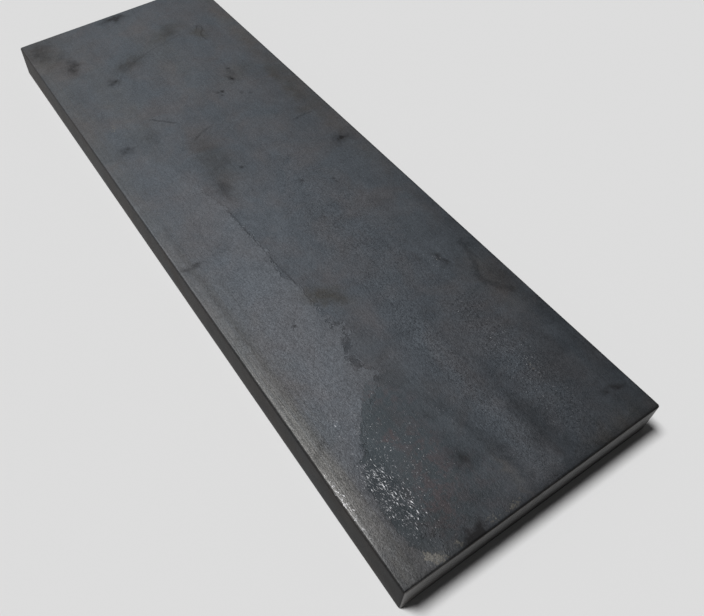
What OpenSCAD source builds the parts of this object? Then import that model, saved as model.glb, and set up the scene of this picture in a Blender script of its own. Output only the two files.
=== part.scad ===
// Hot-rolled steel flat bar, one short length lying on its broad face.
// Frame: origin at the middle of the lower face, +X along the bar, +Z up.

/* [Stock size] */
// Length between the two cut ends
bar_length = 304.8; // [60:0.1:1200]
// Width across the two rolled sides
bar_width = 101.6; // [40:0.1:200]
// Thickness between the two broad faces
bar_thickness = 15.875; // [8:0.025:40]

/* [Rolled edges] */
// Radius that rolling leaves along the four long corners
long_corner_r = 0.8; // [0.3:0.05:2]

/* [Cut ends] */
// Radius of the roll-over where the shear blade entered, along the upper arris of each end
roll_over_r = 0.6; // [0.3:0.05:2]
// Bevel left along the lower arris of each end
lower_break = 0.3; // [0.1:0.05:1]
// Radius of the four upright corners, where the sides meet the ends
upright_corner_r = 0.9; // [0.3:0.05:2]

/* [Hidden] */
$fn = 48;
// How far a cutting profile reaches past the bar on every side
overreach = 5;
// Blue-grey of the mill scale
mill_scale_colour = [0.33, 0.34, 0.36];

// A rectangle about the origin with all four corners rounded
module rounded_rectangle(width, height, corner_r) {
    square([width - 2 * corner_r, height], center = true);
    square([width, height - 2 * corner_r], center = true);
    for (side_x = [-1, 1], side_y = [-1, 1])
        translate([side_x * (width / 2 - corner_r), side_y * (height / 2 - corner_r)])
            circle(corner_r);
}

// The rolled section carried along the bar, past both ends
module rolled_length() {
    translate([0, 0, bar_thickness / 2])
        rotate([90, 0, 90])
            linear_extrude(bar_length + 2 * overreach, center = true)
                rounded_rectangle(bar_width, bar_thickness, long_corner_r);
}

// What the roll-over takes off one upper arris, with its corner at the origin
module roll_over_waste() {
    translate([-roll_over_r, -roll_over_r])
        difference() {
            square(roll_over_r);
            circle(roll_over_r);
        }
}

// The bar seen from its side: square ends, rolled over above and bevelled below
module end_cut_profile() {
    difference() {
        translate([-bar_length / 2, 0])
            square([bar_length, bar_thickness]);
        for (end = [0, 1])
            mirror([end, 0])
                translate([bar_length / 2, 0]) {
                    translate([0, bar_thickness])
                        roll_over_waste();
                    polygon([[0, 0], [-lower_break, 0], [0, lower_break]]);
                }
    }
}

// Both end cuts, carried across the whole width
module end_cuts() {
    rotate([90, 0, 0])
        linear_extrude(bar_width + 2 * overreach, center = true)
            end_cut_profile();
}

// The bar seen from above, with its upright corners softened
module plan_block() {
    translate([0, 0, -overreach])
        linear_extrude(bar_thickness + 2 * overreach)
            rounded_rectangle(bar_length, bar_width, upright_corner_r);
}

// The whole bar: one rolled piece, cut to length
module flat_bar() {
    color(mill_scale_colour)
        intersection() {
            rolled_length();
            end_cuts();
            plan_block();
        }
}

flat_bar();
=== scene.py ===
"""A short length of hot-rolled steel flat bar: its mill scale, worn edges and sheared ends."""
import math

import bpy
import numpy as np
from mathutils import Matrix, Vector


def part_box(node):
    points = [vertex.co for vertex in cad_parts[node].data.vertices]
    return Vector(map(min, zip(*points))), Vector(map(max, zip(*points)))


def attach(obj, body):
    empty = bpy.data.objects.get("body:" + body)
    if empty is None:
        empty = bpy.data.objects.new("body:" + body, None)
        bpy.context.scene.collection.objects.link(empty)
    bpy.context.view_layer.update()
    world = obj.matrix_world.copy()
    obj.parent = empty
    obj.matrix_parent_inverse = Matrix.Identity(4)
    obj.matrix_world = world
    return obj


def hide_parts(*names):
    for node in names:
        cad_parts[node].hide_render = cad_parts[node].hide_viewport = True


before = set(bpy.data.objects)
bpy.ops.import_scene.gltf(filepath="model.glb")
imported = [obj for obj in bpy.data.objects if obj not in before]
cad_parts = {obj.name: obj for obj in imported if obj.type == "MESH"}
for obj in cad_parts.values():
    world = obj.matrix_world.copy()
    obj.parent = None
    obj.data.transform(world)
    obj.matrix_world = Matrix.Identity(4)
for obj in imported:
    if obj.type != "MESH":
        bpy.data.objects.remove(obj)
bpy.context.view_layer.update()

BAR_LOW, BAR_HIGH = (np.array(corner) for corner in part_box("flat_bar"))
MM = 0.001

# Shape of the bar's surface, in millimetres: the radius of its edges, the cells in that rounding, and the
# size of a cell along, across and up
EDGE_R = 0.8
ARC_CELLS = 3
CELLS = (0.96, 0.96, 1.15)
# How far the broad faces fall away towards the sides and the ends, and over what width
EDGE_FALL_DEPTH = 0.22
EDGE_FALL_WIDTH = 6.5
END_FALL_DEPTH = 0.10
END_FALL_WIDTH = 3.5
# Slow waves of the rolled faces, and how much they are squeezed up the sides
WAVE_DEPTH = 0.035
WAVE_LENGTHS = (95.0, 61.0, 43.0, 29.0, 21.0)
SIDE_SQUEEZE = 4.0
# The shear's marks on the ends, and the share that a height counts for, which draws them out upwards
SHEAR_MARK_DEPTH = 0.06
SHEAR_MARK_LENGTHS = (11.0, 6.7, 4.3, 3.1, 2.4)
SHEAR_DRAW = 0.25
# The step down into the bare patch and how steep it is, and the depth of the pits
BARE_STEP = 0.05
BARE_STEEPNESS = 3.0
PIT_DEPTH = 0.12
# How far the outlines of soft marks wander, over what lengths, and how sharply soft marks end
WANDER = 4.5
WANDER_LENGTHS = (17.0, 11.0, 7.3, 5.1, 3.7)
SPOT_SHARPNESS = 1.4
# The most half widths from a line that are measured, and how many millimetres it fades over past its ends
LINE_FAR = 20.0
LINE_FADE = 2.0
# A distance that is outside every mark, and the turns from which a face counts as an end and as looking up
FAR = 30.0
END_TURN = 0.72
UPWARD_TURN = 0.3
SEED = 7

# Marks on the upper face, in millimetres: along from the near end, across from the left side. A soft mark is
# an ellipse: along, across, half length, half width, turn in degrees, strength

# Smudges and stains
STAINS = (
    (21, 37.5, 3.9, 3.3, 0, 0.68),
    (19, 43, 2.0, 3.4, 20, 0.35),
    (37, 39, 1.7, 1.7, 0, 0.5),
    (83, 84, 4.8, 1.5, -8, 0.85),
    (88, 77, 1.7, 0.9, -15, 0.5),
    (131, 6, 1.4, 4.6, 0, 0.8),
    (160.5, 36, 6.4, 4.2, 5, 0.55),
    (178, 41, 16.0, 6.5, 5, 0.25),
    (158.5, 93, 1.6, 1.8, 0, 1.2),
    (158.5, 93, 3.4, 5.5, 0, 0.6),
    (203, 13, 2.8, 3.2, 0, 0.65),
    (205, 26, 5.0, 4.0, 0, 0.3),
    (221, 75, 2.3, 2.0, 0, 0.95),
    (225, 76, 5.0, 2.6, 0, 0.35),
    (251, 27, 3.8, 2.8, 0, 0.75),
    (260, 39, 3.4, 8.0, -16, 0.4),
    (273, 15.5, 6.4, 3.8, 18, 0.8),
    (284, 14, 6.0, 3.0, 0, 0.4),
    (293, 6, 9.0, 6.0, 0, 0.5),
    (300, 50, 3.2, 7.0, 0, 0.9),
    (275, 68, 6.0, 3.8, 20, 0.3),
    (12, 95, 1.4, 4.2, 15, 1.0),
    (0.2, 26.5, 3.2, 5.4, 0, 1.6),
    (3.0, 30, 1.8, 2.0, 0, 0.8),
    (2, 77, 1.4, 2.4, 0, 0.6),
    (5, 69, 1.2, 1.0, 0, 0.5),
    (26, 78.3, 0.9, 0.9, 0, 0.6),
)

# Brown, rusty stains
BROWN = (
    (93, 38.5, 8.5, 3.6, -52, 1.0),
    (175, 40, 22.0, 7.0, 4, 0.4),
    (183, 90, 3.0, 5.0, 0, 0.5),
    (197, 93, 8.0, 3.6, 0, 0.6),
    (213, 93, 8.0, 3.0, 0, 0.6),
    (260, 40, 4.5, 9.0, -16, 0.5),
    (273, 66, 5.0, 11.0, -22, 0.6),
    (263, 80, 5.5, 3.8, 0, 0.8),
    (224, 79, 6.0, 10.0, -20, 0.45),
    (288, 8, 14.0, 6.0, 0, 0.4),
)

# Painted shadows of flakes along the ragged line, as dark patches
FLAKE_SHADOWS = (
    (65, 32, 4.2, 1.8, -8, 0.9),
    (72, 33.6, 3.6, 1.8, 38, 0.9),
    (81, 34.5, 1.2, 3.2, 0, 0.9),
    (108, 32, 5.0, 0.8, 0, 0.5),
    (116, 32, 1.2, 0.9, 0, 0.5),
    (51, 27.5, 5.0, 2.0, 42, 0.5),
)

# Scratches and thin lines: their points as along, across, then half width and strength
LINES = (
    (((42.5, 0.8), (45, 3.0), (48, 6.4)), 1.3, 0.4),
    (((52, 5.0), (90, 5.8), (125, 5.4), (160, 6.2)), 1.6, 0.15),
    (((100, 33.4), (112, 32.4), (126, 31.6), (148, 31)), 0.4, 0.55),
    (((20, 47.5), (32, 45.5), (42, 42.5), (50, 38), (56, 33.5)), 1.8, 0.22),
    (((193, 40), (195.4, 44.5), (197, 50)), 0.7, 0.5),
    (((208, 38), (211, 35), (216, 30)), 0.7, 0.7),
    (((256, 80.6), (259, 80), (262, 80.2), (265, 83), (268, 83.6), (270, 82), (267, 80.5)), 0.5, 0.65),
    (
        ((247, 28), (252, 31.5), (256, 36), (259.5, 41.5), (262, 48), (264.5, 55), (266, 62), (268, 72)),
        0.8, 0.3,
    ),
    (
        ((58, 95.5), (63, 92), (66, 90.4), (69.4, 89.4), (72, 90.8), (75, 92.6), (79, 94.6), (86, 95.6)),
        1.8, 0.6,
    ),
    (((0, 64.2), (18, 64.2), (36, 64.6)), 1.0, 0.2),
    (((180, 83), (180.4, 88), (180, 92)), 0.7, 0.5),
)

# Broad paler and darker tones: partly the scale's own tone, partly painted light and shade
PALER = (
    (45, 57, 50, 4.5, -1, 0.55),
    (138, 42, 46, 13, 0, 0.75),
    # Painted sheen: the far half paler
    (205, 48, 150, 62, 0, 0.5),
    (85, 20, 55, 11, 0, 0.5),
    (32, 76, 24, 6, 6, 0.35),
    (120, 62, 50, 14, 0, 0.3),
    (285, 55, 22, 30, 0, 0.65),
    (50, 101.5, 36, 1.8, 0, 0.45),
    (9, 47.2, 9, 0.9, 0, 0.6),
)
DARKER = (
    (14, 66.5, 20, 3.6, 0, 0.75),
    (16, 49, 24, 2.2, -7, 0.6),
    (8, 85, 30, 12, 0, 0.35),
    (70, 98, 60, 4, 0, 0.5),
    (200, 97, 40, 5, 0, 0.65),
    (6, 95, 6, 5, 0, 0.6),
    (190, 90, 45, 10, 0, 0.3),
    (110, 5.5, 55, 1.1, 0, 0.45),
    (68, 38, 14, 5, 0, 0.3),
    (190, 52, 22, 12, 10, 0.3),
    # Painted shade: a darker strip along the near end
    (0, 68, 4.0, 46, 0, 1.1),
    (3, 5, 9, 8, 0, 0.75),
    (20, 97, 26, 5, 0, 0.5),
    (300, 8, 8, 16, 0, 0.4),
    (6, 14, 12, 14, 0, 1.0),
    (22, 13, 17, 6, 0, 1.15),
    (68, 97, 13, 5, 0, 0.75),
    (7, 30, 7, 7, 0, 0.6),
)

# Warmer, brown-tinged scale
WARM = (
    (3, 6, 9, 7, 0, 1.3),
    (14, 6, 34, 8, 0, 0.6),
    (235, 23, 44, 9, 0, 0.35),
    (282, 12, 26, 14, 0, 0.35),
    (258, 57, 40, 9, 0, 0.3),
    (9, 47.2, 9, 1.2, 0, 0.8),
    (85, 8, 65, 6, 0, 0.3),
    (6, 14, 10, 10, 0, 0.5),
    (18, 24, 16, 10, 0, 0.3),
    (220, 98, 90, 6, 0, 0.5),
    (2, 90, 5, 16, 0, 0.9),
    (285, 56, 40, 12, 0, 0.15),
    (240, 6, 60, 6, 0, 0.2),
    (66, 94, 14, 7, 0, 0.4),
)

# Rubbed and flaked pale marks
RUBS = (
    (2.6, 13.8, 3.0, 3.2, 30, 0.8),
    (4.0, 11.3, 2.6, 1.5, 0, 0.75),
    (2.2, 21, 1.6, 1.2, 0, 0.8),
    (2.2, 33.5, 1.7, 2.6, 0, 0.58),
    (1.7, 41, 1.5, 4.0, 0, 0.62),
    (3.0, 44, 1.2, 1.2, 0, 0.58),
    (1.5, 88, 0.8, 8.0, 0, 0.25),
    (84, 82.5, 2.2, 0.6, 0, 0.45),
    (220, 13.5, 4.5, 2.5, 0, 0.5),
    (33, 78.5, 6.0, 0.7, 0, 0.55),
)

# Small dark pits: along, across, radius
PITS = (
    (213.0, 65.0, 0.7),
    (215.4, 66.4, 1.0),
    (216.0, 64.4, 0.7),
    (209.5, 73.5, 0.7),
    (207.4, 77.0, 0.6),
    (229.0, 77.5, 0.9),
    (140.0, 75.4, 0.7),
    (137.6, 76.0, 0.6),
    (146.0, 64.3, 0.8),
    (124.2, 60.4, 0.6),
    (88.0, 22.8, 0.7),
    (166.8, 48.2, 0.9),
)

# The patch near one corner where the outer scale has come off: its left side as along, across
BARE_SIDE = (
    (-2, 18.5), (1, 16.8), (6.5, 10.8), (9, 9.4), (15, 8.8), (25, 8.7), (30, 9.5), (33, 11.2), (34.6, 13.6),
    (36.3, 11), (37.3, 14.8), (41, 16.2), (44.5, 18.2), (47.5, 21), (50, 22.8), (52.5, 25), (55, 26.7),
    (57, 30),
)
# How bare it is
BARE_DEPTHS = (
    (43, 24, 17, 11, 35, 1.0),
    (39, 17, 9, 7, 20, 1.0),
    (30, 14, 13, 7, 5, 1.0),
    (15, 13, 13, 6, 0, 0.95),
    (26, 26, 28, 13, 12, 0.85),
    (24, 35, 32, 11, 0, 0.5),
)
# Where pink-brown scale is left on it
FRECKLES = (
    (14, 24, 13, 8, 10, 1.0),
    (24, 31, 18, 7, 5, 0.9),
    (12, 40, 14, 8, 0, 0.7),
    (38, 25, 5, 3, 0, 1.0),
    (53, 28, 5, 4, 40, 1.0),
    (46, 35, 12, 4, -25, 0.7),
)
# The long ragged line that the paler, lifted scale ends on, as along, across
LIFT_LINE = (
    (40, 16), (48, 24), (57, 35), (60, 34), (62, 31), (68, 30), (72, 31.5), (76, 35), (80, 37), (82, 32.5),
    (86, 34), (100, 33.4), (105, 32.5), (108, 31), (114, 31), (120, 33), (128, 32), (150, 30.5), (175, 26),
    (200, 20), (230, 12),
)
# Where the lifted scale fades out along the bar
LIFT_FADES = (120.0, 200.0)
# Where the scale is grainier, beyond the grain that it has everywhere
GRAINY = (
    (40, 57, 60, 6, 0, 0.6),
    (80, 17, 45, 13, 0, 0.28),
    (38, 76, 36, 9, 0, 0.65),
    (30, 4, 70, 6, 0, 0.3),
    (120, 66, 42, 14, 0, 0.35),
    (12, 25, 20, 14, 0, 0.3),
)
SMOOTH_GRAIN = 0.5
# The rubbed band along the left side, lighter partly as wear and partly as painted sheen: it grows over the
# first length, and fades over the second to its least
BAND_GROWS = (-12.0, 36.0)
BAND_FADES = (55.0, 125.0)
BAND_LEAST = 0.3
# Where bright specks gather, bare metal painted white as glints
SPECK_ZONES = (
    (29.5, 13.5, 7, 5.0, 0, 1.0),
    (22, 12.5, 9, 4.5, 0, 0.9),
    (16, 16, 5, 4, 0, 1.0),
    (23, 14, 16, 7, 0, 0.7),
    (50, 12, 8, 3, 0, 0.35),
    (84, 82, 5, 2, 0, 0.5),
    # Painted glints along the left arris
    (27, 1.1, 12, 1.7, 0, 0.85),
)
# Where single bright dots are strewn
DOT_ZONES = (
    (34, 22, 30, 15, 0, 0.9),
    (26, 13, 18, 8, 0, 1.0),
    (36, 44, 10, 5, 0, 0.7),
    (32, 77, 32, 8, 0, 0.75),
    (80, 24, 40, 12, 0, 0.25),
    (84, 82, 6, 4, 0, 0.8),
)
# The left arris: how far its painted shade, a darker line along it, reaches in and how dark it is, the
# middle and half length of the glare on it, where that shade is left off, and where and by how much the
# painted shade fades towards the far end
ARRIS_WIDTH = 1.2
ARRIS_PAINTED_SHADE = 2.0
ARRIS_GLARE = (27.0, 11.0)
ARRIS_FADES = (80.0, 150.0)
ARRIS_FADED = 0.6
# The sides: how much painted shade darkens them below the upper face, at the near end and from half way
# on, how warm they are, and how much painted light from the floor lightens their lower arris and how far up
# that reaches
SIDE_PAINTED_SHADE = (2.0, 1.5)
SIDE_WARM = 1.0
PAINTED_LOWER_LIGHT = 0.8
LOWER_REACH = 3.5
# The cut ends: their tone away from the left corner, how much painted light lightens that corner, and over
# what share of the width
END_TONE = 0.14
END_CORNER_PAINTED_LIGHT = 1.0
END_CORNER_SHARE = 0.12

# Colours, as linear red, green and blue
SCALE_BLUE = (0.071, 0.080, 0.091, 1)
SCALE_BROWN = (0.081, 0.079, 0.083, 1)
WARMING = (1.12, 0.98, 0.84)
LIFTED_PALE = (0.100, 0.107, 0.118)
BARE_BLUE = (0.048, 0.057, 0.063, 1)
BARE_PINK = (0.071, 0.0575, 0.060, 1)
BAND_SHEEN_GREY = (0.104, 0.101, 0.094)
FLAKE_BUFF = (0.185, 0.172, 0.148)
RUST_BROWN = (0.050, 0.045, 0.037)
GRIME_BLACK = (0.015, 0.0142, 0.0145, 1)
FLECK_GLINT_BRIGHT = (0.60, 0.60, 0.62, 1)
STEEL_GREY = (0.112, 0.109, 0.106, 1)
STEEL_BROWN = (0.086, 0.081, 0.075, 1)
END_GRIME = (0.035, 0.030, 0.026, 1)

# Noises: bumps a millimetre, detail, roughness and warp
PATCH_NOISE = (0.11, 5.0, 0.62, 0.6)
FINE_NOISE = (2.6, 2.0, 0.7)
WARM_NOISE = (0.09, 3.0, 0.6)
RAGGED_NOISE = (0.33, 3.5, 0.62)
CRINKLE_NOISE = (0.30, 5.0, 0.68, 0.9)
FLAKE_SHADOW_NOISE = (0.75, 3.0, 0.6)
TORN_NOISE = (0.75, 3.5, 0.65)
FRECKLE_NOISE = (0.30, 5.0, 0.72)
FLAKE_NOISE = (1.0, 4.0, 0.75)
RUST_NOISE = (0.6, 3.0, 0.7)
WOBBLE_NOISE = (0.5, 3.0, 0.6)
CLUMP_NOISE = (0.3, 3.0, 0.6)
DOT_NOISE = (1.8, 3.0, 0.75)
# Those on places that are stretched first
STROKE_NOISE = (1.0, 1.5, 0.6, 0.4)
STREAK_NOISE = (1.0, 4.0, 0.6)
BRUSH_NOISE = (1.0, 4.0, 0.65)
BRUSH_STRETCH = (0.10, 2.4, 2.4)
DRAG_STRETCH = (1.0, 2.4, 0.06)
# Those that take their scale from a group's socket
CLOUD_NOISE = (5.0, 0.58, 0.4)
GRAIN_NOISE = (2.0, 0.65)
BLOTCH_NOISE = (3.0, 0.65)

# The spans of a noise that are carried to a swing of tone: a narrow one gives a harder swing
NARROW = (0.35, 0.65)
MIDDLE = (0.3, 0.7)
WIDE = (0.25, 0.75)
WIDEST = (0.2, 0.8)
# The span of the clouds that turns blue-grey to brown-grey, and the span of the marks' shade with its light
TINT_SPAN = (0.42, 0.66)
SHADE_SPAN = (-2.0, 2.0)
SHADE_LIGHT = (0.36, 1.64)
# Lifted scale: how ragged its line is, where that calms, along from the bar's middle, and how far back its
# paleness reaches; the noise that the painted flake shadows need, and the light that is left under the
# painted shadow of the step
LIFT_RAGGED = 5.0
LIFT_CALMS = (-64.0, -46.0)
LIFT_PALES = 15.0
FLAKE_SHADOW_GAIN = 1.6
FLAKE_SHADOW_SPAN = (1.25, 1.40)
STEP_SHADOW_LIGHT = 0.75
# The bare patch: how torn its side is, how far it hides the scale, and the noise that freckles need
BARE_TORN = 1.6
BARE_COVER = 0.9
FRECKLE_SPAN = (0.44, 0.58)
# The rubbed band, partly wear and partly painted sheen: where it ends and is whole, in from the edge, how
# uneven that is, and how much it covers
BAND_SPAN = (10.0, 1.0)
BAND_UNEVEN = 3.0
BAND_COVER = 0.75
# Flakes: the noise that they need, how much they cover, and how far into the bare patch they stay faint
FLAKE_GAIN = 2.2
FLAKE_SPAN = (1.58, 1.78)
FLAKE_COVER = 0.48
SCRAPED_SPAN = (4.5, 3.0)
# Stains and lines: how much rust and grime cover, how a line wobbles and ends, in half widths, and its light
RUST_COVER = 0.85
MOST_GRIME = 0.9
LINE_WOBBLE = 0.8
LINE_SPAN = (1.2, 0.1)
LINE_LIGHT = 0.5
# Flecks: strokes by turn in radians, length and width, the noise that strokes and dots need, how much their
# zones ease that, and the rim of a zone
LENGTHWISE_STROKE = (0.15, (1.25, 0.38))
CROSSWISE_STROKE = (1.15, (1.0, 0.38))
CROSSWISE_RARER = 0.04
STROKE_SPAN = (0.73, 0.93)
SPECK_GAIN = 0.19
DOT_SPAN = (0.73, 0.81)
DOT_GAIN = 0.110
ZONE_RIM = (0.02, 0.2)
# The span of the clouds that is dirt on the cut ends, and the depth of all bumps in millimetres
END_DIRT_SPAN = (0.52, 0.75)
BUMP_DEPTH = 0.08

# Camera, in millimetres: where it stands, the point of the upper face on its axis, its roll in degrees, its
# lens, sensor and shift, and how near it sees
CAMERA_AT = (-183.8, 103.1, 224.7)
CAMERA_AIM = (-30.7, 15.5, 15.9)
CAMERA_ROLL = -3.21
CAMERA_LENS = 37.14
SENSOR_WIDTH = 36.0
CAMERA_SHIFT = (0.1115, -0.0845)
CLIP_START = 10.0

# Light: the sun's lean from straight overhead, towards the far end and the left side, its strength and its
# width in degrees, and the room's own light
SUN_LEAN = (0.25, 0.29)
SUN_STRENGTH = 3.2
SUN_WIDTH = 16.0
AMBIENT = 0.05
# The room as metal mirrors it: the heading that is pale, and the span of that heading with its light
PALE_HEADING = (0.9, 0.4, 0.0)
ROOM_SPAN = (-0.05, 0.62)
ROOM_LIGHT = (0.02, 1.0)
# The floor, with its reach in metres
FLOOR_GREY = 0.72
FLOOR_ROUGH = 0.9
FLOOR_REACH = 6.0


def grid_stations(half, cell):
    """Stations from -half to half: even cells between the two corner arcs, and in each arc stations that
    fall as the tangent of equal angle steps, so that the rounding turns by equal angles."""
    inner = half - EDGE_R
    middle = np.linspace(-inner, inner, max(2, round(2 * inner / cell)) + 1)
    turn = np.linspace(0.0, math.pi / 4, ARC_CELLS + 1)[1:]
    arc = inner + EDGE_R * np.tan(turn)
    return np.concatenate([-arc[::-1], middle, arc])


def box_shell(counts):
    """Lattice indices of the points on the skin of a box of cells, with the quads that join them.

    For each of the six sides, the two other axes run over a grid of indices. A point's key is its place
    in the whole lattice, so points that two sides share are met once and the shell is closed."""
    strides = np.array([(counts[1] + 1) * (counts[2] + 1), counts[2] + 1, 1])
    quads = []
    for axis in range(3):
        first, second = (axis + 1) % 3, (axis + 2) % 3
        a, b = np.meshgrid(np.arange(counts[first] + 1), np.arange(counts[second] + 1), indexing="ij")
        for side in (0, counts[axis]):
            key = side * strides[axis] + a * strides[first] + b * strides[second]
            ring = [key[:-1, :-1], key[1:, :-1], key[1:, 1:], key[:-1, 1:]]
            if side == 0:
                ring.reverse()
            quads.append(np.stack(ring, axis=-1).reshape(-1, 4))
    keys, flat = np.unique(np.concatenate(quads), return_inverse=True)
    index = (keys // strides[0], keys // strides[1] % (counts[1] + 1), keys % (counts[2] + 1))
    return np.stack(index, axis=1), flat.reshape(-1, 4)


def rounded_skin(box_points, half):
    """Rounds a box: each point is held inside the box shrunk by the edge radius, and the skin stands that
    radius away from the held point, along the line to the box's own skin. Gives held points and normals."""
    held = np.clip(box_points, -(half - EDGE_R), half - EDGE_R)
    away = box_points - held
    return held, away / np.linalg.norm(away, axis=1, keepdims=True)


def waves(first, second, lengths, generator):
    """A sum of plane waves of the given lengths, each with its own heading and phase, between 0 and 1."""
    total = np.zeros_like(first)
    for length in lengths:
        heading, phase = generator.uniform(0, 2 * math.pi, 2)
        distance = first * math.cos(heading) + second * math.sin(heading)
        total += np.sin(distance * 2 * math.pi / length + phase)
    return 0.5 + 0.5 * total / len(lengths)


def wandered(along, across, generator):
    """The same places shifted by slow waves, so that the outlines of marks wander."""
    shift = [WANDER * (waves(along, across, WANDER_LENGTHS, generator) - 0.5) for _ in range(2)]
    return along + shift[0], across + shift[1]


def ramp(value, low, high):
    """Nought below the first value and one above the second, with an even slope between."""
    return np.clip((value - low) / (high - low), 0, 1)


def spots(along, across, marks):
    """The strongest of several soft ellipses: each falls off as the bell curve of the turned, scaled
    distance from its middle."""
    strongest = np.zeros_like(along)
    for middle_along, middle_across, half_along, half_across, turn, strength in marks:
        c, s = math.cos(math.radians(turn)), math.sin(math.radians(turn))
        u = ((along - middle_along) * c + (across - middle_across) * s) / half_along
        v = ((across - middle_across) * c - (along - middle_along) * s) / half_across
        strongest = np.maximum(strongest, strength * np.exp(-(u * u + v * v) ** SPOT_SHARPNESS))
    return strongest


def pits(along, across):
    """How deep each place lies in the small pits, each a soft round spot, from 0 to 1."""
    return spots(along, across, [(*middle, radius, radius, 0, 1.0) for *middle, radius in PITS])


def line_at(along, points):
    """The across value of a line through the given points, at each along value."""
    knots = np.array(points, dtype=float)
    return np.interp(along, knots[:, 0], knots[:, 1])


def bare_reach(along, across):
    """How far a point lies inside the bare patch: the lesser of the distances to its side and its tip."""
    return np.minimum(across - line_at(along, BARE_SIDE), BARE_SIDE[-1][0] - along)


def lift_reach(along, across):
    """How far a point lies on the paler side of the ragged line."""
    return line_at(along, LIFT_LINE) - across


def rubbed_share(along):
    """How rubbed the left edge is along the bar: it grows from the near end, then fades to its least."""
    return ramp(along, *BAND_GROWS) * (1 - (1 - BAND_LEAST) * ramp(along, *BAND_FADES))


def line_marks(along, across):
    """The nearest of the drawn lines: the distance from it in half widths, signed by side, and its strength.

    For each stretch between two points, the distance is measured square to the stretch, and past its ends
    to its end point; the strength fades out past the ends."""
    nearest = np.full_like(along, LINE_FAR)
    strength = np.zeros_like(along)
    for points, half_width, line_strength in LINES:
        for (along_0, across_0), (along_1, across_1) in zip(points, points[1:]):
            run, rise = along_1 - along_0, across_1 - across_0
            length = math.hypot(run, rise)
            share = ((along - along_0) * run + (across - across_0) * rise) / length
            square = ((across - across_0) * run - (along - along_0) * rise) / length
            beyond = np.clip(np.maximum(-share, share - length), 0, None)
            distance = np.hypot(square, beyond) / half_width
            closer = distance < np.abs(nearest)
            nearest = np.where(closer, np.copysign(distance, square), nearest)
            strength = np.where(closer, line_strength * np.clip(1 - beyond / LINE_FADE, 0, 1), strength)
    return nearest, strength


def bar_marks(along, across, height, normal, size, generator):
    """The marks at each point of the bar, by name, for its materials to read: distances in millimetres,
    strengths and shades, the shades partly the scale's own tone and partly painted light and shade. Those of
    the upper face fade out as the skin turns away from it."""
    up = np.clip(normal[:, 2], 0, None)
    leftwards = np.clip(normal[:, 1], 0, None)
    looks_up = up > UPWARD_TURN
    loose = wandered(along, across, generator)
    line_side, line_strength = line_marks(along, across)
    # The left arris is painted darker as shade, except at its glare
    glare = np.exp(-((along - ARRIS_GLARE[0]) / ARRIS_GLARE[1]) ** 2)
    arris = ARRIS_PAINTED_SHADE * np.exp(-(across / ARRIS_WIDTH) ** 2) * (1 - glare)
    arris *= 1 - ARRIS_FADED * ramp(along, *ARRIS_FADES)
    upper_tone_and_painted_shade = spots(*loose, PALER) - spots(*loose, DARKER) - arris
    # The sides are painted darker as shade, and their lower arris lighter as painted light from the floor
    painted_lower_light = PAINTED_LOWER_LIGHT * np.exp(-(height / LOWER_REACH) ** 2)
    side_painted_light_and_shade = painted_lower_light - np.interp(along, (0, size[0] / 2), SIDE_PAINTED_SHADE)
    return {
        "stain": spots(*loose, STAINS) * up,
        "rub": spots(along, across, RUBS) * up,
        "brown": spots(*loose, BROWN) * up,
        "warm": spots(*loose, WARM) * up + SIDE_WARM * (1 - up),
        # Painted light: the ends lighter at their left corner
        "end_tone_and_corner_light": END_TONE + END_CORNER_PAINTED_LIGHT * np.exp(-across / (END_CORNER_SHARE * size[1])),
        "flake_shadow": spots(along, across, FLAKE_SHADOWS) * up,
        "line_side": line_side,
        "line_strength": line_strength * up,
        "shade": upper_tone_and_painted_shade * up + side_painted_light_and_shade * (1 - up),
        "pit": pits(along, across) * up,
        "speck": spots(along, across, SPECK_ZONES) * up,
        "dots": spots(along, across, DOT_ZONES) * up,
        "freckle": spots(*loose, FRECKLES) * up,
        "bare_depth": spots(*loose, BARE_DEPTHS) * up,
        "bare_reach": np.where(looks_up, bare_reach(along, across), -FAR),
        "lift_reach": np.where(looks_up, lift_reach(along, across), -FAR),
        "lift_strength": (1 - ramp(along, *LIFT_FADES)) * up,
        "grainy": SMOOTH_GRAIN + spots(*loose, GRAINY),
        "band_and_sheen_strength": rubbed_share(along) * up,
        "left_edge": across + FAR * (1 - np.clip(up + leftwards, 0, 1)),
    }


def add_object(name, data):
    """A new object of the scene, at the origin."""
    made = bpy.data.objects.new(name, data)
    bpy.context.scene.collection.objects.link(made)
    return made


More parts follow.
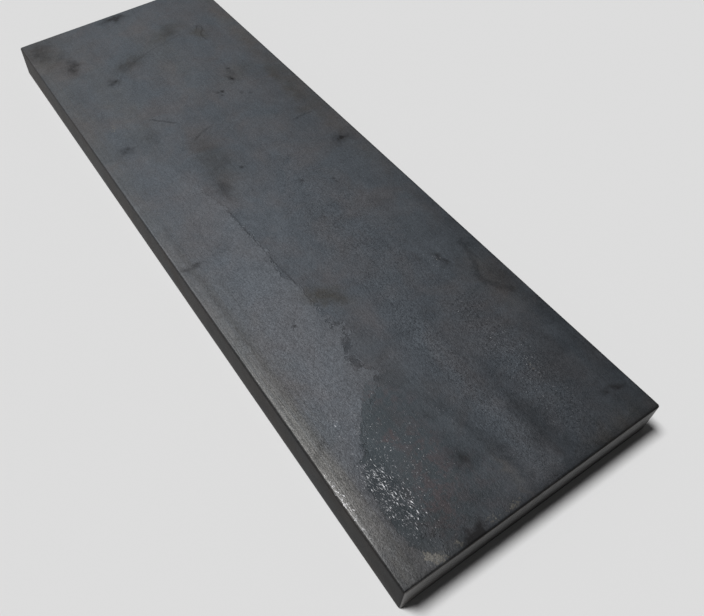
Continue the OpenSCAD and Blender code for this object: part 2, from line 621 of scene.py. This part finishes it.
def make_bar():
    """The whole bar as one closed surface: the skin of a rounded box, let in along its own normal by the
    fall of its rolled edges, slow waves, the step of the bare patch, pits and the shear's marks."""
    generator = np.random.default_rng(SEED)
    size = (BAR_HIGH - BAR_LOW) / MM
    half = size / 2
    stations = [grid_stations(*sides) for sides in zip(half, CELLS)]
    index, quads = box_shell([len(row) - 1 for row in stations])
    box_points = np.stack([row[index[:, axis]] for axis, row in enumerate(stations)], axis=1)
    held, normal = rounded_skin(box_points, half)
    skin = held + EDGE_R * normal
    along, across, height = skin[:, 0] + half[0], half[1] - skin[:, 1], skin[:, 2] + half[2]

    up = np.clip(normal[:, 2], 0, None)
    bare = up / (1 + np.exp(-BARE_STEEPNESS * np.clip(bare_reach(along, across), -FAR, FAR)))
    pit = pits(along, across) * up
    from_side = np.minimum(across, size[1] - across)
    from_end = np.minimum(along, size[0] - along)
    face = EDGE_FALL_DEPTH * rubbed_share(along) * np.clip(1 - from_side / EDGE_FALL_WIDTH, 0, 1) ** 2
    face += END_FALL_DEPTH * np.clip(1 - from_end / END_FALL_WIDTH, 0, 1) ** 2
    face += WAVE_DEPTH * waves(along, across, WAVE_LENGTHS, generator)
    side = WAVE_DEPTH * waves(along, SIDE_SQUEEZE * skin[:, 2], WAVE_LENGTHS, generator)
    ragged = waves(skin[:, 1], SHEAR_DRAW * skin[:, 2], SHEAR_MARK_LENGTHS, generator)
    depth = np.abs(normal[:, 2]) * face + np.abs(normal[:, 1]) * side
    depth += np.abs(normal[:, 0]) * SHEAR_MARK_DEPTH * ragged + BARE_STEP * bare + PIT_DEPTH * pit
    points = (skin - depth[:, None] * normal) * MM + (BAR_LOW + BAR_HIGH) / 2

    mesh = bpy.data.meshes.new("rolled_bar")
    mesh.from_pydata(points, [], quads)
    mesh.polygons.foreach_set("use_smooth", np.ones(len(quads), dtype=bool))
    on_end = np.abs(normal[quads, 0]).mean(axis=1) > END_TURN
    mesh.polygons.foreach_set("material_index", on_end.astype(np.int32))
    for name, values in bar_marks(along, across, height, normal, size, generator).items():
        mark = mesh.attributes.new(name, "FLOAT", "POINT")
        mark.data.foreach_set("value", values.astype(np.float32))
    mesh.update()
    return add_object("rolled_bar", mesh)


def fill(tree, node, inputs):
    """Gives a node's inputs their values, each a constant or another node's output."""
    for name, value in inputs.items():
        if isinstance(value, bpy.types.NodeSocket):
            tree.links.new(value, node.inputs[name])
        else:
            node.inputs[name].default_value = value


def put(tree, kind, inputs=None, **settings):
    """A new shader node with its settings and inputs."""
    node = tree.nodes.new("ShaderNode" + kind)
    for name, value in settings.items():
        setattr(node, name, value)
    fill(tree, node, inputs or {})
    return node


def placed(tree, group, inputs):
    """The outputs of a node group placed in a material, with its own values."""
    return put(tree, "Group", inputs, node_tree=group).outputs


def maths(tree, operation, *values):
    """The output of a Math node."""
    return put(tree, "Math", dict(enumerate(values)), operation=operation).outputs[0]


def times(tree, first, second):
    """Two values multiplied."""
    return maths(tree, "MULTIPLY", first, second)


def added(tree, total, value, gain):
    """A value times its gain, on top of a total."""
    return maths(tree, "MULTIPLY_ADD", value, gain, total)


def multiplied(tree, first, second):
    """Two colours or vectors multiplied, part by part."""
    return put(tree, "VectorMath", {0: first, 1: second}, operation="MULTIPLY").outputs[0]


def scaled(tree, colour, factor):
    """A colour made lighter or darker by a value."""
    return put(tree, "VectorMath", {0: colour, "Scale": factor}, operation="SCALE").outputs[0]


def mixed(tree, factor, first, second):
    """Two colours mixed. A Mix node's sockets share their names, so they go by number here."""
    return put(tree, "Mix", {0: factor, 6: first, 7: second}, data_type="RGBA").outputs[2]


def mixed_value(tree, factor, first, second):
    """Two plain values mixed, on the same node's first sockets."""
    return put(tree, "Mix", {0: factor, 2: first, 3: second}, data_type="FLOAT").outputs[0]


def remapped(tree, value, low, high, to_low=0.0, to_high=1.0, smooth=False):
    """A value carried from one range to another and held inside it."""
    kind = "SMOOTHSTEP" if smooth else "LINEAR"
    inputs = {"Value": value, "From Min": low, "From Max": high, "To Min": to_low, "To Max": to_high}
    return put(tree, "MapRange", inputs, interpolation_type=kind).outputs[0]


def attribute(tree, name):
    """One of the bar's own marks, as a value."""
    return put(tree, "Attribute", attribute_name=name, attribute_type="GEOMETRY").outputs["Fac"]


def noise(tree, place, scale, detail, rough, warp=0.0):
    """A noise value about 0.5, its scale in bumps a millimetre."""
    inputs = {"Vector": place, "Scale": scale, "Detail": detail, "Roughness": rough, "Distortion": warp}
    return put(tree, "TexNoise", inputs).outputs["Fac"]


def stroke_noise(tree, place, turn, size):
    """A noise value whose bumps are strokes of the given length and width, turned about the upright."""
    inputs = {"Vector": place, "Rotation": (0, 0, turn), "Scale": (*size, 1.0)}
    turned = put(tree, "Mapping", inputs, vector_type="TEXTURE").outputs[0]
    return noise(tree, turned, *STROKE_NOISE)


def new_group(name, inputs, outputs):
    """An empty node group with named float, vector or colour sockets."""
    group = bpy.data.node_groups.new(name, "ShaderNodeTree")
    for socket, kind, value in inputs:
        made = group.interface.new_socket(socket, in_out="INPUT", socket_type=kind)
        if value is not None:
            made.default_value = value
    for socket, kind in outputs:
        group.interface.new_socket(socket, in_out="OUTPUT", socket_type=kind)
    return group, group.nodes.new("NodeGroupInput").outputs, group.nodes.new("NodeGroupOutput")


def make_metal_grain():
    """Drawn streaks, cloudy patches and fine grain, each about 0.5."""
    group, given, out = new_group(
        "metal_grain",
        [
            ("Place", "NodeSocketVector", None),
            ("Streak Stretch", "NodeSocketVector", (0.02, 0.9, 0.9)),
            ("Cloud Scale", "NodeSocketFloat", 0.04),
            ("Grain Scale", "NodeSocketFloat", 2.0),
        ],
        [
            ("Streaks", "NodeSocketFloat"),
            ("Clouds", "NodeSocketFloat"),
            ("Grain", "NodeSocketFloat"),
        ],
    )
    stretched = multiplied(group, given["Place"], given["Streak Stretch"])
    fill(group, out, {
        "Streaks": noise(group, stretched, *STREAK_NOISE),
        "Clouds": noise(group, given["Place"], given["Cloud Scale"], *CLOUD_NOISE),
        "Grain": noise(group, given["Place"], given["Grain Scale"], *GRAIN_NOISE),
    })
    return group


def make_grime():
    """Breaks a soft stain up into a blotchy one and lays its colour over a base."""
    group, given, out = new_group(
        "grime",
        [
            ("Base", "NodeSocketColor", (0.05, 0.05, 0.05, 1)),
            ("Grime Colour", "NodeSocketColor", (0.02, 0.016, 0.013, 1)),
            ("Amount", "NodeSocketFloat", 0.0),
            ("Place", "NodeSocketVector", None),
            ("Blotch Scale", "NodeSocketFloat", 0.5),
        ],
        [("Colour", "NodeSocketColor"), ("Mask", "NodeSocketFloat")],
    )
    blotch = noise(group, given["Place"], given["Blotch Scale"], *BLOTCH_NOISE)
    blotchy = times(group, given["Amount"], remapped(group, blotch, *MIDDLE, 0.45, 1.3))
    mask = remapped(group, blotchy, 0.0, 1.0, 0.0, MOST_GRIME)
    fill(group, out, {"Colour": mixed(group, mask, given["Base"], given["Grime Colour"]), "Mask": mask})
    return group


def start_material(name):
    """A new node material: its tree, its Principled shader and its place in millimetres."""
    material = bpy.data.materials.new(name)
    material.use_nodes = True
    tree = material.node_tree
    shader = tree.nodes["Principled BSDF"]
    coords = put(tree, "TexCoord").outputs["Object"]
    place = put(tree, "Mapping", {"Vector": coords, "Scale": (1 / MM, 1 / MM, 1 / MM)}).outputs[0]
    return material, tree, shader, place


def bumped(tree, height):
    """The normal that a height leaves, a height of one being as deep as the bump."""
    return put(tree, "Bump", {"Height": height, "Distance": BUMP_DEPTH * MM, "Strength": 1.0}).outputs[0]


def base_scale(tree, place, grain, patches, fine):
    """Blue-grey and brown-grey clouds, warmed in places and shaded by patches, streaks and grain.

    Gives the colour, its whole shade, and the broad part of that shade, which the bar's marks set: partly the
    scale's own tone, partly painted light and shade."""
    tint = remapped(tree, grain["Clouds"], *TINT_SPAN, 0.0, 0.7)
    colour = mixed(tree, tint, SCALE_BLUE, SCALE_BROWN)
    speckle = maths(
        tree, "ADD",
        remapped(tree, grain["Grain"], *WIDE, -0.34, 0.34),
        remapped(tree, fine, *WIDE, -0.38, 0.38),
    )
    shade = added(tree, remapped(tree, patches, *MIDDLE, 0.93, 1.07), speckle, attribute(tree, "grainy"))
    shade = times(tree, shade, remapped(tree, grain["Streaks"], *MIDDLE, 0.95, 1.05))
    # The broad shade is partly the scale's own tone and partly painted light and shade
    broad = remapped(tree, attribute(tree, "shade"), *SHADE_SPAN, *SHADE_LIGHT)
    shade = times(tree, shade, broad)
    warmth = remapped(tree, noise(tree, place, *WARM_NOISE), *NARROW, 0.5, 1.3)
    warmth = times(tree, warmth, attribute(tree, "warm"))
    colour = mixed(tree, warmth, colour, multiplied(tree, colour, WARMING))
    return scaled(tree, colour, shade), shade, broad


def lifted_scale(tree, place, colour, shade):
    """Paler lifted scale, crinkled, up to a ragged line with the painted shadow of its step and painted
    shadows of flakes along it.

    Gives the colour, where the scale is lifted, its crinkles and the painted shadows."""
    from_middle = put(tree, "SeparateXYZ", {0: place}).outputs[0]
    calmer = remapped(tree, from_middle, *LIFT_CALMS, 1.0, 0.4)
    ragged = remapped(tree, noise(tree, place, *RAGGED_NOISE), *WIDEST, -LIFT_RAGGED, LIFT_RAGGED)
    lift_place = added(tree, attribute(tree, "lift_reach"), ragged, calmer)
    lift_strength = attribute(tree, "lift_strength")
    lifted = times(tree, remapped(tree, lift_place, -0.15, 0.15, smooth=True), lift_strength)
    crinkle = noise(tree, place, *CRINKLE_NOISE)
    # The crinkles' swing of colour is painted shading of their relief, on top of their bumps
    pale = scaled(tree, scaled(tree, LIFTED_PALE, shade), remapped(tree, crinkle, *MIDDLE, 0.78, 1.22))
    paleness = times(tree, lifted, remapped(tree, lift_place, 0.0, LIFT_PALES, 0.62, 0.25))
    colour = mixed(tree, paleness, colour, pale)
    # Painted shadow that the lifted scale's step casts beside the line, with painted flake shadows along it
    step = times(tree, remapped(tree, lift_place, -1.1, -0.2), remapped(tree, lift_place, 0.15, -0.1))
    step = times(tree, step, times(tree, lift_strength, calmer))
    flake_shadowed = added(tree, attribute(tree, "flake_shadow"), noise(tree, place, *FLAKE_SHADOW_NOISE), FLAKE_SHADOW_GAIN)
    painted_step_shadow = maths(tree, "MAXIMUM", step, remapped(tree, flake_shadowed, *FLAKE_SHADOW_SPAN, smooth=True))
    colour = scaled(tree, colour, remapped(tree, painted_step_shadow, 0.0, 1.0, 1.0, STEP_SHADOW_LIGHT))
    return colour, lifted, crinkle, painted_step_shadow


def bare_patch(tree, place, colour, fine, broad):
    """The bare patch, darker and smoother, with pink-brown scale left on it, up to a torn side.

    Gives the colour, how bare each place is, where the patch is and how far in from its torn side."""
    torn = remapped(tree, noise(tree, place, *TORN_NOISE), *WIDEST, -BARE_TORN, BARE_TORN)
    bare_place = maths(tree, "ADD", attribute(tree, "bare_reach"), torn)
    bare_side = remapped(tree, bare_place, -0.15, 0.2, smooth=True)
    bare = times(tree, bare_side, attribute(tree, "bare_depth"))
    freckle = remapped(tree, noise(tree, place, *FRECKLE_NOISE), *FRECKLE_SPAN, smooth=True)
    freckle = times(tree, freckle, attribute(tree, "freckle"))
    bare_colour = mixed(tree, freckle, BARE_BLUE, BARE_PINK)
    bare_colour = scaled(tree, bare_colour, remapped(tree, fine, *WIDE, 0.86, 1.14))
    bare_colour = scaled(tree, bare_colour, broad)
    return mixed(tree, times(tree, bare, BARE_COVER), colour, bare_colour), bare, bare_side, bare_place


def rubbed_edge_and_sheen(tree, place, colour, shade, streaks):
    """The left side's rubbed band, lighter partly as wear and partly as painted sheen, streaked along the
    rolling direction. Gives the colour and the band.
    """
    uneven = remapped(tree, streaks, *MIDDLE, -BAND_UNEVEN, BAND_UNEVEN)
    from_edge = maths(tree, "ADD", attribute(tree, "left_edge"), uneven)
    band = remapped(tree, from_edge, *BAND_SPAN, smooth=True)
    band = times(tree, band, attribute(tree, "band_and_sheen_strength"))
    lengthwise = put(tree, "Mapping", {"Vector": place, "Scale": BRUSH_STRETCH}).outputs[0]
    brushed = remapped(tree, noise(tree, lengthwise, *BRUSH_NOISE), *MIDDLE, 0.62, 1.42)
    # The band's lighter grey is partly wear and partly a painted sheen
    band_colour = scaled(tree, scaled(tree, BAND_SHEEN_GREY, shade), brushed)
    return mixed(tree, times(tree, band, BAND_COVER), colour, band_colour), band


def flaked_scale(tree, place, colour, fine, bare_side, bare_place):
    """Torn, pale flakes where the bar is rubbed, faint just inside the bare patch."""
    flake = added(tree, attribute(tree, "rub"), noise(tree, place, *FLAKE_NOISE), FLAKE_GAIN)
    flake = remapped(tree, flake, *FLAKE_SPAN, 0.0, FLAKE_COVER, smooth=True)
    scraped = times(tree, bare_side, remapped(tree, bare_place, *SCRAPED_SPAN))
    flake = times(tree, flake, remapped(tree, scraped, 0.0, 1.0, 1.0, 0.25))
    torn_scale = scaled(tree, FLAKE_BUFF, remapped(tree, fine, *MIDDLE, 0.6, 1.4))
    return mixed(tree, flake, colour, torn_scale)


def stained_scale(tree, place, colour, shade, grime_group):
    """Brown stains and thin lines, with dark stains and pits over them. Gives the colour and the dirt."""
    rusty = remapped(tree, noise(tree, place, *RUST_NOISE), *MIDDLE, 0.55, 1.0)
    rusty = times(tree, rusty, attribute(tree, "brown"))
    colour = mixed(tree, times(tree, rusty, RUST_COVER), colour, scaled(tree, RUST_BROWN, shade))
    wobble = remapped(tree, noise(tree, place, *WOBBLE_NOISE), *WIDEST, -LINE_WOBBLE, LINE_WOBBLE)
    from_line = maths(tree, "ABSOLUTE", maths(tree, "ADD", attribute(tree, "line_side"), wobble))
    drawn = remapped(tree, from_line, *LINE_SPAN, smooth=True)
    drawn = times(tree, drawn, attribute(tree, "line_strength"))
    colour = scaled(tree, colour, remapped(tree, drawn, 0.0, 1.0, 1.0, LINE_LIGHT))
    dirty = maths(tree, "MAXIMUM", attribute(tree, "stain"), attribute(tree, "pit"))
    grime = placed(tree, grime_group, {
        "Base": colour, "Grime Colour": GRIME_BLACK, "Amount": dirty, "Place": place, "Blotch Scale": 0.4,
    })
    return grime["Colour"], grime["Mask"]


def bright_flecks_and_glints(tree, place):
    """Bright strokes in two directions where specks gather, and single dots strewn about them: bare metal
    painted white as glints.
    """
    speck, dots = attribute(tree, "speck"), attribute(tree, "dots")
    clump = remapped(tree, noise(tree, place, *CLUMP_NOISE), *NARROW, 0.5, 1.3)
    gather = times(tree, speck, times(tree, clump, SPECK_GAIN))
    lengthwise = stroke_noise(tree, place, *LENGTHWISE_STROKE)
    crosswise = stroke_noise(tree, place, *CROSSWISE_STROKE)
    strokes = maths(tree, "MAXIMUM", lengthwise, maths(tree, "SUBTRACT", crosswise, CROSSWISE_RARER))
    strokes = remapped(tree, maths(tree, "ADD", strokes, gather), *STROKE_SPAN)
    strokes = times(tree, strokes, remapped(tree, speck, *ZONE_RIM))
    sparkle = added(tree, noise(tree, place, *DOT_NOISE), dots, DOT_GAIN)
    sparkle = times(tree, remapped(tree, sparkle, *DOT_SPAN), remapped(tree, dots, *ZONE_RIM))
    return maths(tree, "MAXIMUM", strokes, sparkle)


def make_mill_scale(grain_group, grime_group):
    """Blue-grey mill scale with brown clouds, a rubbed glossy edge with painted sheen, lifted and bare scale
    with painted shadows at the lifted line, stains, and specks painted white as glints.
    """
    material, tree, shader, place = start_material("mill_scale")
    grain = placed(tree, grain_group, {"Place": place, "Cloud Scale": 0.05, "Grain Scale": 1.3})
    patches = noise(tree, place, *PATCH_NOISE)
    fine = noise(tree, place, *FINE_NOISE)
    colour, shade, broad = base_scale(tree, place, grain, patches, fine)
    colour, lifted, crinkle, painted_step_shadow = lifted_scale(tree, place, colour, shade)
    colour, bare, bare_side, bare_place = bare_patch(tree, place, colour, fine, broad)
    colour, band = rubbed_edge_and_sheen(tree, place, colour, shade, grain["Streaks"])
    colour = flaked_scale(tree, place, colour, fine, bare_side, bare_place)
    colour, dirt = stained_scale(tree, place, colour, shade, grime_group)
    fleck_and_glint = bright_flecks_and_glints(tree, place)

    # Gloss: the rubbed band is smoother, dirt and lifted scale are duller
    rough = remapped(tree, patches, *MIDDLE, 0.41, 0.49)
    for value, gain in ((lifted, 0.05), (band, -0.06), (dirt, 0.15)):
        rough = added(tree, rough, value, gain)

    # Relief: grain and streaks, lifted scale with its crinkles, and the marks let in or left standing
    height = times(tree, grain["Grain"], 0.6)
    for value, gain in (
        (bare, -0.4),
        (lifted, 0.5),
        (times(tree, crinkle, lifted), 0.6),
        (fine, 0.35),
        (grain["Streaks"], maths(tree, "MULTIPLY_ADD", band, 1.5, 0.3)),
        (fleck_and_glint, 0.6),
        (painted_step_shadow, -0.3),
    ):
        height = added(tree, height, value, gain)

    fill(tree, shader, {
        # The flecks are painted white as glints
        "Base Color": mixed(tree, fleck_and_glint, colour, FLECK_GLINT_BRIGHT),
        "Roughness": rough,
        "Normal": bumped(tree, height),
        "Metallic": 0.8,
        "Specular IOR Level": 0.3,
        "Specular Tint": (0.5, 0.5, 0.5, 1),
    })
    return material


def make_sheared_steel(grain_group, grime_group):
    """Bare grey steel of the cut ends: drag marks down through the thickness, dull where it broke."""
    material, tree, shader, place = start_material("sheared_steel")
    grain = placed(tree, grain_group, {
        "Place": place, "Streak Stretch": DRAG_STRETCH, "Cloud Scale": 0.12, "Grain Scale": 2.4,
    })
    dragged = remapped(tree, grain["Streaks"], *MIDDLE, 0.65, 1.35)
    shade = times(tree, dragged, remapped(tree, grain["Grain"], *WIDE, 0.88, 1.12))
    tint = remapped(tree, grain["Clouds"], 0.4, 0.6)
    colour = scaled(tree, mixed(tree, tint, STEEL_GREY, STEEL_BROWN), shade)
    # Painted light: the ends lighter at their left corner, carried in the end tone
    colour = scaled(tree, colour, attribute(tree, "end_tone_and_corner_light"))
    dirt = remapped(tree, grain["Clouds"], *END_DIRT_SPAN, 0.0, 0.5)
    grime = placed(tree, grime_group, {
        "Base": colour, "Grime Colour": END_GRIME, "Amount": dirt, "Place": place, "Blotch Scale": 0.9,
    })
    fill(tree, shader, {
        "Base Color": grime["Colour"],
        "Roughness": remapped(tree, grain["Streaks"], *MIDDLE, 0.36, 0.52),
        "Normal": bumped(tree, added(tree, grain["Streaks"], grain["Grain"], 0.3)),
        "Metallic": 0.7,
        "Specular IOR Level": 0.25,
    })
    return material


def make_camera():
    """A camera at the stated place, turned to its aim point and rolled about its own axis."""
    data = bpy.data.cameras.new("camera")
    data.sensor_width = SENSOR_WIDTH
    data.lens = CAMERA_LENS
    data.shift_x, data.shift_y = CAMERA_SHIFT
    data.clip_start = CLIP_START * MM
    camera = add_object("camera", data)
    place = Vector(CAMERA_AT) * MM
    back = (place - Vector(CAMERA_AIM) * MM).normalized()
    level = Vector((0, 0, 1)).cross(back).normalized()
    roll = math.radians(CAMERA_ROLL)
    up = back.cross(level) * math.cos(roll) - level * math.sin(roll)
    turn = Matrix((up.cross(back), up, back)).transposed()
    camera.matrix_world = Matrix.Translation(place) @ turn.to_4x4()
    bpy.context.scene.camera = camera


def make_floor():
    """A plain pale floor under the bar, one square face."""
    mesh = bpy.data.meshes.new("floor")
    turns = ((-1, -1), (1, -1), (1, 1), (-1, 1))
    mesh.from_pydata([(x * FLOOR_REACH, y * FLOOR_REACH, 0) for x, y in turns], [], [(0, 1, 2, 3)])
    material = bpy.data.materials.new("pale_floor")
    material.use_nodes = True
    tree = material.node_tree
    fill(tree, tree.nodes["Principled BSDF"], {
        "Base Color": (FLOOR_GREY, FLOOR_GREY, FLOOR_GREY, 1),
        "Roughness": FLOOR_ROUGH,
        "Specular IOR Level": 0.0,
    })
    mesh.materials.append(material)
    floor = add_object("floor", mesh)


def make_light():
    """A broad sun near overhead, and a dim room that looks paler towards the far end."""
    data = bpy.data.lights.new("overhead", "SUN")
    data.energy = SUN_STRENGTH
    data.angle = math.radians(SUN_WIDTH)
    sun = add_object("overhead", data)
    sun.rotation_euler = Vector((*SUN_LEAN, 1.0)).to_track_quat("Z", "Y").to_euler()

    world = bpy.data.worlds.new("room")
    bpy.context.scene.world = world
    world.use_nodes = True
    tree = world.node_tree
    tree.nodes.clear()
    heading = put(tree, "TexCoord").outputs["Generated"]
    forward = put(tree, "VectorMath", {0: heading, 1: PALE_HEADING}, operation="DOT_PRODUCT")
    mirrored = remapped(tree, forward.outputs["Value"], *ROOM_SPAN, *ROOM_LIGHT)
    seen = put(tree, "LightPath").outputs
    shown = maths(tree, "MAXIMUM", seen["Is Glossy Ray"], seen["Is Transmission Ray"])
    level = mixed_value(tree, shown, AMBIENT, mirrored)
    level = mixed_value(tree, seen["Is Camera Ray"], level, FLOOR_GREY)
    background = put(tree, "Background", {"Color": (1, 1, 1, 1), "Strength": level})
    put(tree, "OutputWorld", {"Surface": background.outputs[0]})


bpy.context.scene.view_settings.view_transform = "Standard"
metal_grain = make_metal_grain()
grime = make_grime()
bar = make_bar()
bar.data.materials.append(make_mill_scale(metal_grain, grime))
bar.data.materials.append(make_sheared_steel(metal_grain, grime))
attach(bar, "root")
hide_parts("flat_bar")
make_floor()
make_light()
make_camera()
